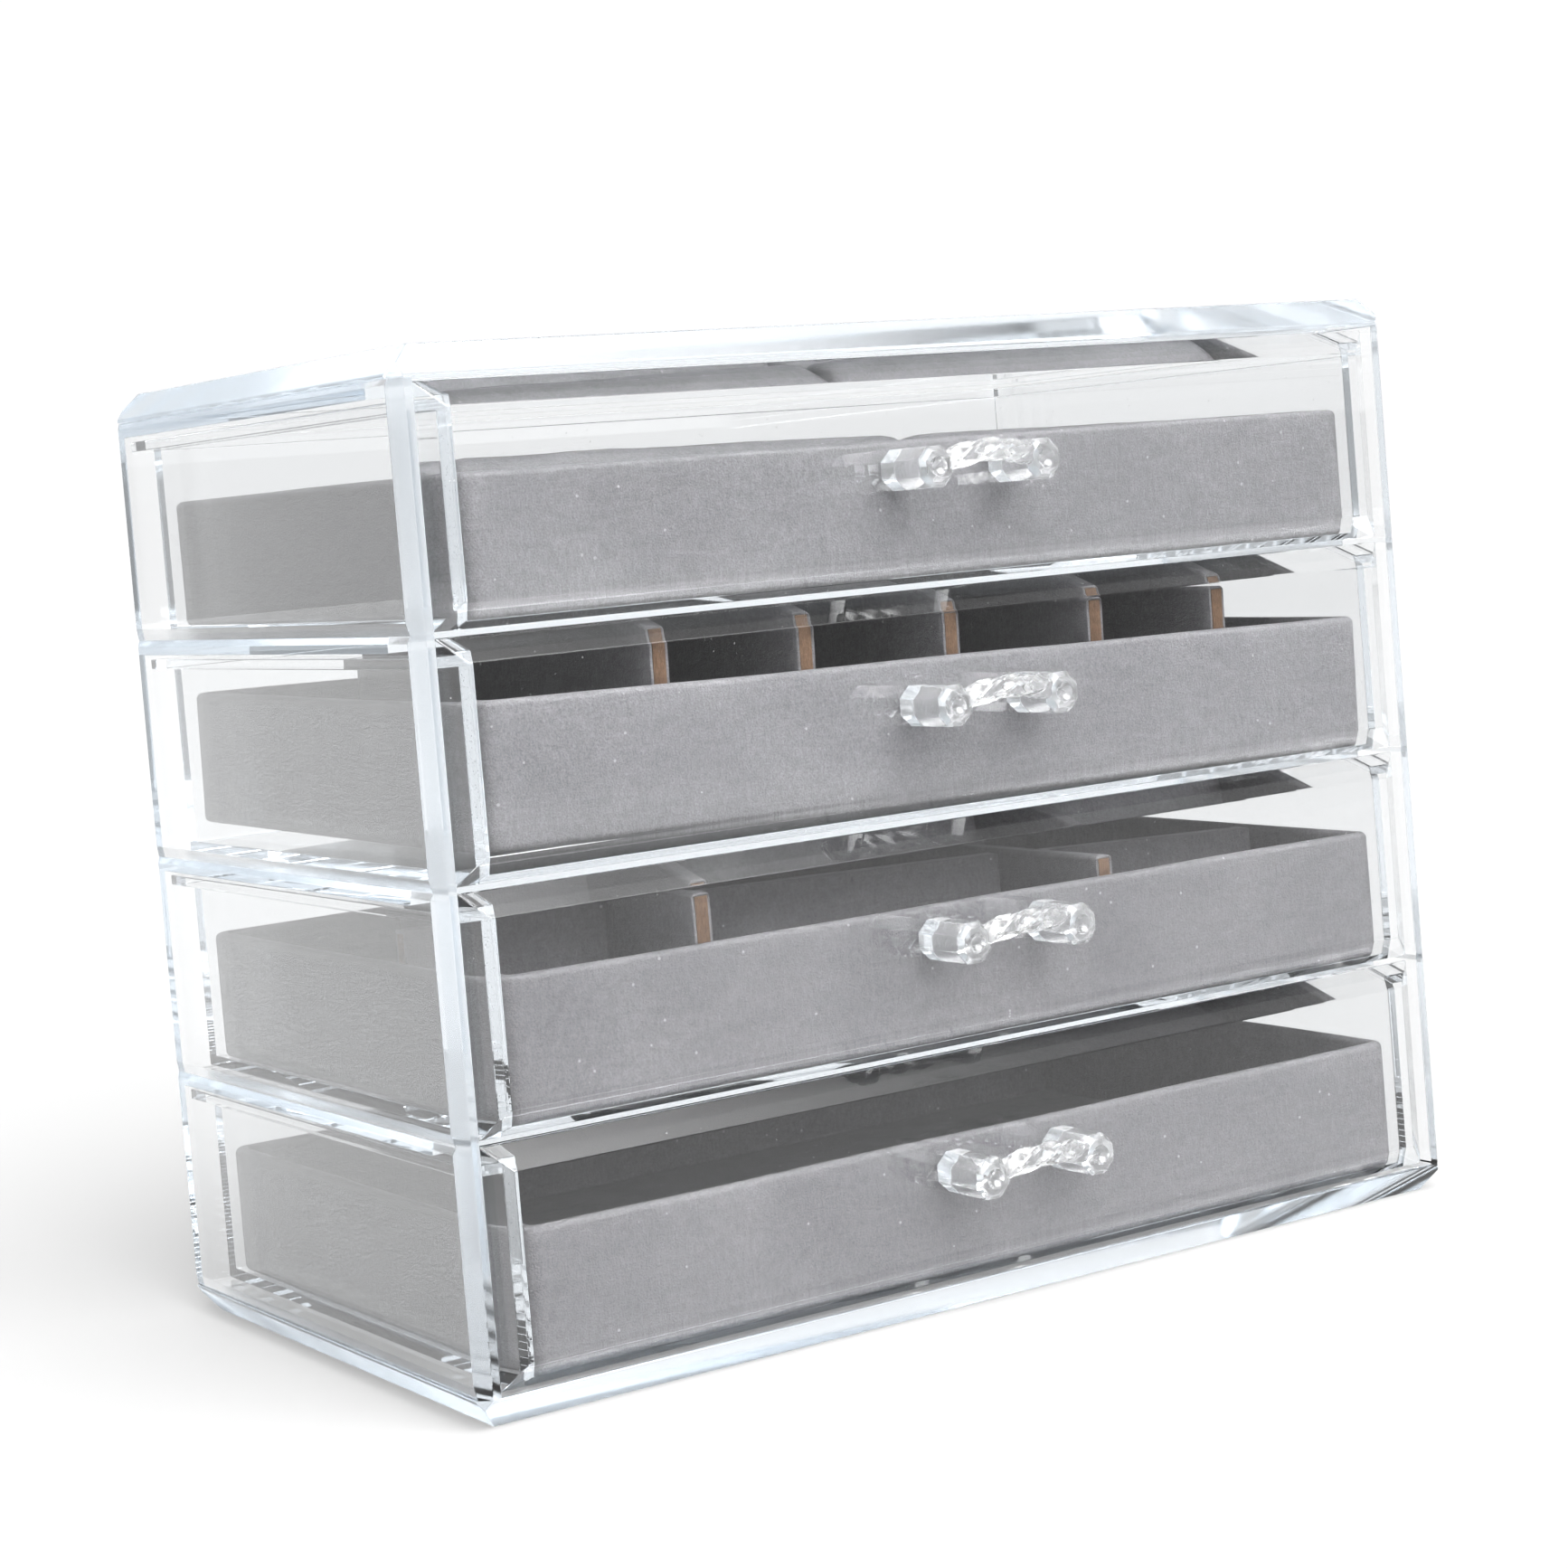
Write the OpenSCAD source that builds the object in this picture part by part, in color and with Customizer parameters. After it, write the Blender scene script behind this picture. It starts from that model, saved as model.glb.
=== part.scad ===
// Clear four-drawer organiser box with bevelled drawer fronts and velvet trays.
// Millimetres. Origin at the centre of the underside, +X to the right,
// +Y to the back, +Z up. Drawer 1 is the top one, drawer 4 the bottom one.

/* [Case] */
// Width over the side walls
case_w = 236; // [224:1:260]
// Depth from the front posts to the rear wall
case_d = 135; // [128:1:150]
// Height of one tier
tier_h = 45.75; // [45:0.25:50]
// Thickness of the base plate
base_t = 6; // [5:0.5:8]
// Thickness of the top cover
cover_t = 6; // [5:0.5:8]
// Thickness of the side walls
side_t = 4.2; // [3.2:0.1:4.4]
// Thickness of the rear wall
rear_t = 2.4; // [2:0.1:5]
// Thickness of each tier's ceiling plate
shelf_t = 3; // [2:0.1:3.2]
// How far the ceiling plates' front edge stands behind the posts
shelf_back = 14; // [4:1:20]
// Flat cut along the upright corners
corner_cut = 2.5; // [1:0.1:2.8]
// Depth of the fine chamfer at each tier's seams
seam_cut = 0.5; // [0.2:0.1:0.8]

/* [Bevels] */
// How far the base plate's underside is set in
base_inset = 4.3; // [2:0.1:5]
// How far the cover's top face is set in at the sides
cover_inset_x = 5; // [2:0.1:6]
// How far the cover's top face is set in at front and back
cover_inset_y = 2.7; // [1:0.1:5]
// Width of the bevel round each drawer front
front_bevel = 4.8; // [3:0.1:7]
// How far a drawer front's centre stands out from its edge
front_raise = 3.3; // [1:0.1:3.6]

/* [Drawers] */
// Gap between a drawer front and the case beside it
front_gap = 1; // [0.4:0.1:1.2]
// Thickness of a drawer box's walls
box_t = 2.1; // [1.6:0.1:2.4]
// Thickness of a drawer box's floor
floor_t = 1.9; // [1.5:0.1:2.4]
// Width of the lip outside each drawer wall
lip_w = 4.7; // [3:0.1:5.2]
// Thickness of the lip
lip_t = 2.1; // [1.5:0.1:2.4]

/* [Handles] */
// Distance between the two posts
handle_span = 25.6; // [22:0.2:30]
// Width of a post across its flats
post_w = 8; // [6.5:0.5:9]
// Length of a post
post_l = 14; // [12:0.5:17]
// Thickness of the twisted bar
bar_d = 4.8; // [3.6:0.2:5.2]
// How far the middle of the bar rises
bar_rise = 2.6; // [0:0.2:3]
// How far the middle of the bar bows outward
bar_bow = 3; // [0:0.5:4]
// Turns of the ribs along the bar
bar_turns = 1; // [0.5:0.25:1.5]

/* [Trays] */
// Thickness of a tray's walls
tray_t = 3; // [2:0.1:3.5]
// Height of the ring roll tray
tray_h1 = 26.2; // [25:0.1:28]
// Height of the five-divider tray
tray_h2 = 27.3; // [25:0.1:28]
// Height of the cross-divider tray
tray_h3 = 26.5; // [25:0.1:28]
// Height of the plain tray
tray_h4 = 26.4; // [25:0.1:28]
// Lift of the second tray's left side, as it rests
tray2_lift = 3.3; // [0:0.1:3.4]
// Lift of the second tray's rear, as it rests
tray2_rear = 1; // [0:0.1:1.2]

/* [Dividers] */
// Thickness of a divider's board
board_t = 2.7; // [2:0.1:3]
// Thickness of the velvet on a divider
wrap_t = 0.65; // [0.4:0.05:0.8]
// Height of the second drawer's dividers above the tray's underside
div2_h = 36.2; // [30:0.1:36.3]
// Height of the third drawer's tall divider
div3_tall_h = 35.7; // [30:0.1:37]
// Height of the third drawer's low divider
div3_low_h = 30.2; // [28:0.1:36]
// Distance of the cross dividers from the tray's inner front
cross_y = 36; // [20:1:90]

/* [Hidden] */
$fn = 48;
e = 0.02;

hw = case_w / 2;             // half the width
hd = case_d / 2;             // half the depth
case_h = base_t + 4 * tier_h + cover_t;
tier_z = [for (i = [1:4]) base_t + (4 - i) * tier_h];   // underside of tiers 1 to 4

// drawer front, measured from its own tier
panel_x = hw - side_t - front_gap;      // half its width
panel_lo = 0.4;
panel_hi = tier_h - 0.75;
panel_back = -hd + 3;
panel_edge = -hd + 2.4;
panel_face = panel_edge - front_raise;
panel_mid = (panel_lo + panel_hi) / 2;

// drawer box
wall_x = hw - side_t - front_gap - lip_w - 0.1;    // outer face of its side walls
box_back = hd - rear_t - 0.9;
floor_top = panel_lo + floor_t;
wall_top = tier_h - shelf_t - 1.05;

// velvet tray
tray_x = wall_x - box_t - 0.8;
tray_y0 = panel_back + 0.3;
tray_y1 = box_back - box_t - 0.9;
tray_floor = 2.5;
tray_r = 3.5;

acrylic = [0.86, 0.93, 0.96, 0.35];
velvet = [0.64, 0.64, 0.66];
board = [0.70, 0.50, 0.36];

// upright prism with its four corners cut flat
module cut_corner_prism(w, d, h, c) {
  linear_extrude(h)
    polygon([[-w + c, -d], [w - c, -d], [w, -d + c], [w, d - c],
             [w - c, d], [-w + c, d], [-w, d - c], [-w, -d + c]]);
}

// plate whose rim slopes: z_lo and z_hi bound the slope, in_x and in_y its set-back
module along_y(points, d) { translate([0, d, 0]) rotate([90, 0, 0]) linear_extrude(2 * d) polygon(points); }
module along_x(points, w) { rotate([90, 0, 90]) translate([0, 0, -w]) linear_extrude(2 * w) polygon(points); }

module base_plate() {
  lip = base_t - 0.2;
  color(acrylic) intersection() {
    cut_corner_prism(hw, hd, base_t, corner_cut);
    along_y([[-hw + base_inset, 0], [hw - base_inset, 0], [hw, lip], [hw, base_t], [-hw, base_t], [-hw, lip]], hd + 1);
    along_x([[-hd + base_inset, 0], [hd - base_inset, 0], [hd, lip], [hd, base_t], [-hd, base_t], [-hd, lip]], hw + 1);
  }
}

module top_cover() {
  lip = 0.7;
  ix = cover_inset_x;
  iy = cover_inset_y;
  color(acrylic) translate([0, 0, case_h - cover_t]) intersection() {
    cut_corner_prism(hw, hd, cover_t, corner_cut);
    along_y([[-hw, 0], [hw, 0], [hw, lip], [hw - ix, cover_t], [-hw + ix, cover_t], [-hw, lip]], hd + 1);
    along_x([[-hd, 0], [hd, 0], [hd, lip], [hd - iy, cover_t], [-hd + iy, cover_t], [-hd, lip]], hw + 1);
  }
}

// left, right and rear walls under a ceiling plate; open to the front and below
module tier(i) {
  c = seam_cut;
  color(acrylic) translate([0, 0, tier_z[i - 1]]) difference() {
    intersection() {
      cut_corner_prism(hw, hd, tier_h, corner_cut);
      along_y([[-hw + c, 0], [hw - c, 0], [hw, 2.4], [hw, tier_h - 1.2], [hw - c, tier_h],
               [-hw + c, tier_h], [-hw, tier_h - 1.2], [-hw, 2.4]], hd + 1);
    }
    translate([-hw + side_t, -hd - 1, -1])
      cube([case_w - 2 * side_t, case_d - rear_t + 1, tier_h - shelf_t + 1]);
    translate([-hw + side_t, -hd - 1, tier_h - shelf_t - 1])
      cube([case_w - 2 * side_t, shelf_back + 1, shelf_t + 2]);
  }
}

// panel with a picture-frame bevel on its outer face
module drawer_front(i) {
  b = front_bevel;
  z0 = panel_lo;
  z1 = panel_hi;
  color(acrylic) translate([0, 0, tier_z[i - 1]]) intersection() {
    translate([0, 0, z0 - 1]) linear_extrude(z1 - z0 + 2)
      polygon([[-panel_x, panel_back], [-panel_x, panel_edge], [-panel_x + b, panel_face],
               [panel_x - b, panel_face], [panel_x, panel_edge], [panel_x, panel_back]]);
    along_x([[panel_back, z0], [panel_edge, z0], [panel_face, z0 + b],
             [panel_face, z1 - b], [panel_edge, z1], [panel_back, z1]], hw);
  }
}

// floor, two side walls, rear wall and a lip outside the three walls' top
module drawer_box(i) {
  y0 = panel_back;
  lip_x = wall_x + lip_w;
  color(acrylic) translate([0, 0, tier_z[i - 1]]) union() {
    translate([-wall_x, y0, panel_lo]) cube([2 * wall_x, box_back - y0, floor_t]);
    for (s = [0, 1]) mirror([s, 0, 0]) {
      translate([wall_x - box_t, y0, panel_lo]) cube([box_t, box_back - y0, wall_top - panel_lo]);
      translate([wall_x - e, y0, wall_top - lip_t]) cube([lip_w + e, box_back - y0, lip_t]);
    }
    translate([-wall_x, box_back - box_t, panel_lo]) cube([2 * wall_x, box_t, wall_top - panel_lo]);
    translate([-lip_x, box_back - e, wall_top - lip_t]) cube([2 * lip_x, 0.5 + e, lip_t]);
  }
}

// points of one ring of the twisted bar: four ribs, turned as it goes along
bar_n = 36;
function unit(v) = v / norm(v);
function bar_at(t) = [(t - 0.5) * handle_span, -(post_l - 3.2) - bar_bow * sin(180 * t), bar_rise * sin(180 * t)];
function bar_dir(t) = unit([handle_span, -bar_bow * PI * cos(180 * t), bar_rise * PI * cos(180 * t)]);
function bar_ring(t) =
  let (p = bar_at(t), d = bar_dir(t), u = unit(cross(d, [0, 0, 1])), v = cross(u, d))
  [for (k = [0:7]) let (a = k * 45 + 360 * bar_turns * t, r = bar_d / 2 * (k % 2 == 0 ? 1 : 0.8))
    p + r * cos(a) * u + r * sin(a) * v];

module twisted_bar() {
  pts = [for (j = [0:bar_n]) each bar_ring(j / bar_n)];
  polyhedron(pts, concat(
    [[for (k = [7:-1:0]) k]],
    [[for (k = [0:7]) bar_n * 8 + k]],
    [for (j = [0:bar_n - 1]) for (k = [0:7]) [j * 8 + k, (j + 1) * 8 + (k + 1) % 8, (j + 1) * 8 + k]],
    [for (j = [0:bar_n - 1]) for (k = [0:7]) [j * 8 + k, j * 8 + (k + 1) % 8, (j + 1) * 8 + (k + 1) % 8]]));
}

// eight-sided post along -Y with a bevelled, dimpled end
module handle_post() {
  r = post_w / 2 / cos(22.5);
  difference() {
    rotate([90, 22.5, 0]) union() {
      cylinder(h = post_l - 1, r = r, $fn = 8);
      translate([0, 0, post_l - 1]) cylinder(h = 1, r1 = r, r2 = r - 1, $fn = 8);
    }
    translate([0, -post_l - 1.2, 0]) sphere(r = 2.3);
  }
}

module drawer_handle(i) {
  color(acrylic) translate([0, panel_face, tier_z[i - 1] + panel_mid]) {
    for (s = [-1, 1]) translate([s * handle_span / 2, 0, 0]) handle_post();
    twisted_bar();
  }
}

// upright block with rounded corners
module round_block(x, y0, y1, z0, z1, r) {
  translate([-x + r, y0, z0]) cube([2 * x - 2 * r, y1 - y0, z1 - z0]);
  translate([-x, y0 + r, z0]) cube([2 * x, y1 - y0 - 2 * r, z1 - z0]);
  for (sx = [-1, 1]) for (y = [y0 + r, y1 - r])
    translate([sx * (x - r), y, z0]) cylinder(h = z1 - z0, r = r);
}

module tray(h) {
  color(velvet) difference() {
    round_block(tray_x, tray_y0, tray_y1, 0, h, tray_r);
    translate([-tray_x + tray_t, tray_y0 + tray_t, tray_floor])
      cube([2 * (tray_x - tray_t), tray_y1 - tray_y0 - 2 * tray_t, h]);
  }
}

// where each drawer's tray stands; the second one rests a little raised at its left and rear
module in_tray(i) {
  lift = i == 2 ? asin(tray2_lift / (2 * tray_x)) : 0;
  back = i == 2 ? asin(tray2_rear / (tray_y1 - tray_y0)) : 0;
  translate([tray_x, tray_y0, tier_z[i - 1] + floor_top])
    rotate([back, lift, 0]) translate([-tray_x, -tray_y0, 0]) children();
}

// inner span of a tray
in_x = tray_x - tray_t;
in_y0 = tray_y0 + tray_t;
in_y1 = tray_y1 - tray_t;

// velvet roll that runs left to right, with a rounded top and bottom
module ring_roll(side, row) {
  pitch = (in_y1 - in_y0) / 5;
  r = pitch / 2 - 0.3;
  // the front roll stands above the rim, the others lie just under it; none is lower than its own thickness
  top = max(tray_floor + 2 * r + 0.1, row > 1 ? tray_h1 - 0.3 : side < 0 ? tray_h1 + 3.1 : tray_h1 + 1.9);
  len = in_x - 0.7;
  x0 = side < 0 ? -in_x + 0.3 : 0.4;
  yc = in_y0 + pitch * (row - 0.5);
  color(velvet) in_tray(1) union() {
    translate([x0, yc, tray_floor + r]) rotate([0, 90, 0]) cylinder(h = len, r = r);
    translate([x0, yc, top - r]) rotate([0, 90, 0]) cylinder(h = len, r = r);
    translate([x0, yc - r, tray_floor + r]) cube([len, 2 * r, top - tray_floor - 2 * r]);
  }
}

// five dividers, front to back, set by hand a little off equal spacing
div_pitch = 2 * in_x / 6;
div_shift = [1.6, 0, 0.2, 2.2, 0.5];
function div_x(k) = -in_x + k * div_pitch + div_shift[k - 1];
div_t = board_t + 2 * wrap_t;
div_y0 = in_y0 + 0.2;
div_y1 = in_y1 - 0.2;

module long_board(x, h) {
  color(board) translate([x - board_t / 2, div_y0, tray_floor])
    cube([board_t, div_y1 - div_y0, h - wrap_t - tray_floor]);
}

// velvet over both sides and the rounded top of a board
module long_wrap(x, h) {
  r = div_t / 2;
  color(velvet) translate([x, div_y0, 0]) difference() {
    union() {
      translate([-r, 0, tray_floor]) cube([2 * r, div_y1 - div_y0, h - tray_floor - 1]);
      translate([-r + 1, 0, h - 1.5]) cube([2 * r - 2, div_y1 - div_y0, 1.5]);
      for (s = [-1, 1]) translate([s * (r - 1), 0, h - 1]) rotate([-90, 0, 0]) cylinder(h = div_y1 - div_y0, r = 1);
    }
    translate([-board_t / 2, -1, tray_floor - 1]) cube([board_t, div_y1 - div_y0 + 2, h - wrap_t - tray_floor + 1]);
  }
}

// third drawer: the tall divider stands at the left, the low one at the right
tall_x = -in_x + 0.2 * 2 * in_x;
low_x = -in_x + 0.668 * 2 * in_x;
cy = in_y0 + cross_y;
// span and end heights of the three cross dividers
cross = [[-in_x + 0.2, tall_x - div_t / 2 - 0.1, 32.4, 32.4],
         [tall_x + div_t / 2 + 0.1, low_x - div_t / 2 - 0.1, 31.8, 29.2],
         [low_x + div_t / 2 + 0.1, in_x - 0.2, 28.6, 26]];

module cross_slab(k, t, cut, y) {
  c = cross[k];
  color(t > board_t ? velvet : board) translate([0, y + t / 2, 0]) rotate([90, 0, 0]) linear_extrude(t)
    polygon([[c[0], tray_floor], [c[1], tray_floor], [c[1], c[3] - cut], [c[0], c[2] - cut]]);
}
module cross_board(k) { in_tray(3) cross_slab(k, board_t, wrap_t, cy); }
module cross_wrap(k) {
  in_tray(3) color(velvet) difference() {
    cross_slab(k, div_t, 0, cy);
    translate([0, cy + board_t / 2, 0]) rotate([90, 0, 0]) linear_extrude(board_t)
      polygon([[cross[k][0] - 1, tray_floor - 1], [cross[k][1] + 1, tray_floor - 1],
               [cross[k][1] + 1, cross[k][3] - wrap_t - (cross[k][2] - cross[k][3]) / (cross[k][1] - cross[k][0])],
               [cross[k][0] - 1, cross[k][2] - wrap_t + (cross[k][2] - cross[k][3]) / (cross[k][1] - cross[k][0])]]);
  }
}

module case_tier_1() { tier(1); }
module case_tier_2() { tier(2); }
module case_tier_3() { tier(3); }
module case_tier_4() { tier(4); }
module divider_board(k) { in_tray(2) long_board(div_x(k), div2_h); }
module divider_wrap(k) { in_tray(2) long_wrap(div_x(k), div2_h); }

base_plate();
case_tier_1();
case_tier_2();
case_tier_3();
case_tier_4();
top_cover();
drawer_box(1);  // drawer_box_1
drawer_box(2);  // drawer_box_2
drawer_box(3);  // drawer_box_3
drawer_box(4);  // drawer_box_4
drawer_front(1);  // drawer_front_1
drawer_front(2);  // drawer_front_2
drawer_front(3);  // drawer_front_3
drawer_front(4);  // drawer_front_4
drawer_handle(1);  // drawer_handle_1
drawer_handle(2);  // drawer_handle_2
drawer_handle(3);  // drawer_handle_3
drawer_handle(4);  // drawer_handle_4
in_tray(1) tray(tray_h1);  // velvet_tray_1
in_tray(2) tray(tray_h2);  // velvet_tray_2
in_tray(3) tray(tray_h3);  // velvet_tray_3
in_tray(4) tray(tray_h4);  // velvet_tray_4
ring_roll(-1, 1);  // ring_roll_left_1
ring_roll(-1, 2);  // ring_roll_left_2
ring_roll(-1, 3);  // ring_roll_left_3
ring_roll(-1, 4);  // ring_roll_left_4
ring_roll(-1, 5);  // ring_roll_left_5
ring_roll(1, 1);  // ring_roll_right_1
ring_roll(1, 2);  // ring_roll_right_2
ring_roll(1, 3);  // ring_roll_right_3
ring_roll(1, 4);  // ring_roll_right_4
ring_roll(1, 5);  // ring_roll_right_5
divider_board(1);  // divider_board_1
divider_board(2);  // divider_board_2
divider_board(3);  // divider_board_3
divider_board(4);  // divider_board_4
divider_board(5);  // divider_board_5
divider_wrap(1);  // divider_wrap_1
divider_wrap(2);  // divider_wrap_2
divider_wrap(3);  // divider_wrap_3
divider_wrap(4);  // divider_wrap_4
divider_wrap(5);  // divider_wrap_5
in_tray(3) long_board(tall_x, div3_tall_h);  // tall_divider_board
in_tray(3) long_board(low_x, div3_low_h);  // low_divider_board
cross_board(0);  // cross_board_left
cross_board(1);  // cross_board_middle
cross_board(2);  // cross_board_right
in_tray(3) long_wrap(tall_x, div3_tall_h);  // tall_divider_wrap
in_tray(3) long_wrap(low_x, div3_low_h);  // low_divider_wrap
cross_wrap(0);  // cross_wrap_left
cross_wrap(1);  // cross_wrap_middle
cross_wrap(2);  // cross_wrap_right
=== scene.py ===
import math
import random

import bmesh
import bpy
import numpy as np
from mathutils import Matrix, Vector, noise


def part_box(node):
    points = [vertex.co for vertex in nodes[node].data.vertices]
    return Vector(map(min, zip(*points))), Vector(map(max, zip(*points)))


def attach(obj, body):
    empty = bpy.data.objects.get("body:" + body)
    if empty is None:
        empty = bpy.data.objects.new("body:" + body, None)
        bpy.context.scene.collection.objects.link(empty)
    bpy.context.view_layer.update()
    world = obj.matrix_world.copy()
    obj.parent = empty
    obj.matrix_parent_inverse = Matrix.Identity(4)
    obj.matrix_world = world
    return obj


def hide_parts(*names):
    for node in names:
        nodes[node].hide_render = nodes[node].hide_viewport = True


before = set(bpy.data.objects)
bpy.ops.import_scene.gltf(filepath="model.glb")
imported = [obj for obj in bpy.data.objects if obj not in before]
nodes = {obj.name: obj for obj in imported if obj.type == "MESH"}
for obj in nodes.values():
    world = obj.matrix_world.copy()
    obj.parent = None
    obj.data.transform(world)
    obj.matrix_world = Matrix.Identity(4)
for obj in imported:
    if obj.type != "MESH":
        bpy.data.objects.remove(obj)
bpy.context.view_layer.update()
scene = bpy.context.scene
MM = 0.001

# ---------------------------------------------------------------- camera

IMAGE = 1734.0
YAW, PITCH, ROLL = math.radians(-33.857), math.radians(-2.942), math.radians(-4.639)
FOCAL = 3555.2
CX, CY = 979.0, 722.1
EYE = Vector((-364.5, -583.27, 162.82)) * MM


def camera_rows():
    c, s = math.cos(YAW), math.sin(YAW)
    turn = np.array([[c, s, 0], [-s, c, 0], [0, 0, 1]])
    c, s = math.cos(PITCH), math.sin(PITCH)
    nod = np.array([[1, 0, 0], [0, c, s], [0, -s, c]])
    c, s = math.cos(ROLL), math.sin(ROLL)
    lean = np.array([[c, 0, s], [0, 1, 0], [-s, 0, c]])
    return lean @ nod @ turn


right, ahead, up = (Vector(r) for r in camera_rows())
cam = bpy.data.cameras.new("camera")
cam.sensor_width = 36.0
cam.lens = FOCAL / IMAGE * 36.0
cam.shift_x = 0.5 - CX / IMAGE
cam.shift_y = CY / IMAGE - 0.5
cam.clip_start, cam.clip_end = 0.01, 50
camera = bpy.data.objects.new("camera", cam)
scene.collection.objects.link(camera)
m = Matrix.Identity(4)
for i, axis in enumerate((right, up, -ahead)):
    for j in range(3):
        m[j][i] = axis[j]
m.translation = EYE
camera.matrix_world = m
scene.camera = camera

# ---------------------------------------------------------------- materials


def new_material(name):
    mat = bpy.data.materials.new(name)
    mat.use_nodes = True
    nt = mat.node_tree
    nt.nodes.clear()
    out = nt.nodes.new("ShaderNodeOutputMaterial")
    bsdf = nt.nodes.new("ShaderNodeBsdfPrincipled")
    nt.links.new(bsdf.outputs["BSDF"], out.inputs["Surface"])
    return mat, nt, bsdf, out


def coords(nt, scale=(1, 1, 1)):
    tc = nt.nodes.new("ShaderNodeTexCoord")
    mp = nt.nodes.new("ShaderNodeMapping")
    mp.inputs["Scale"].default_value = scale
    nt.links.new(tc.outputs["Object"], mp.inputs["Vector"])
    return mp.outputs["Vector"]


def noise_tex(nt, vec, scale, detail=3.0, rough=0.5, distort=0.0):
    n = nt.nodes.new("ShaderNodeTexNoise")
    n.inputs["Scale"].default_value = scale
    n.inputs["Detail"].default_value = detail
    n.inputs["Roughness"].default_value = rough
    n.inputs["Distortion"].default_value = distort
    nt.links.new(vec, n.inputs["Vector"])
    return n.outputs["Fac"]


def ramp(nt, fac, stops, interpolation="LINEAR"):
    r = nt.nodes.new("ShaderNodeValToRGB")
    r.color_ramp.interpolation = interpolation
    els = r.color_ramp.elements
    while len(els) < len(stops):
        els.new(0.5)
    for el, (p, c) in zip(els, stops):
        el.position = p
        el.color = c if len(c) == 4 else (*c, 1)
    nt.links.new(fac, r.inputs["Fac"])
    return r.outputs["Color"]


def grey(v):
    return (v, v, v, 1)


def math_node(nt, op, a, b=None, clamp=False):
    n = nt.nodes.new("ShaderNodeMath")
    n.operation = op
    n.use_clamp = clamp
    for i, v in enumerate((a, b)):
        if v is None:
            continue
        if isinstance(v, (int, float)):
            n.inputs[i].default_value = v
        else:
            nt.links.new(v, n.inputs[i])
    return n.outputs[0]


def mix_colour(nt, fac, a, b, blend="MIX"):
    n = nt.nodes.new("ShaderNodeMix")
    n.data_type = "RGBA"
    n.blend_type = blend
    for sock, v in ((n.inputs[0], fac), (n.inputs[6], a), (n.inputs[7], b)):
        if isinstance(v, (int, float)):
            sock.default_value = v
        elif isinstance(v, tuple):
            sock.default_value = v if len(v) == 4 else (*v, 1)
        else:
            nt.links.new(v, sock)
    return n.outputs[2]


def bump(nt, height, strength, distance, normal=None):
    b = nt.nodes.new("ShaderNodeBump")
    b.inputs["Strength"].default_value = strength
    b.inputs["Distance"].default_value = distance
    nt.links.new(height, b.inputs["Height"])
    if normal is not None:
        nt.links.new(normal, b.inputs["Normal"])
    return b.outputs["Normal"]


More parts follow.
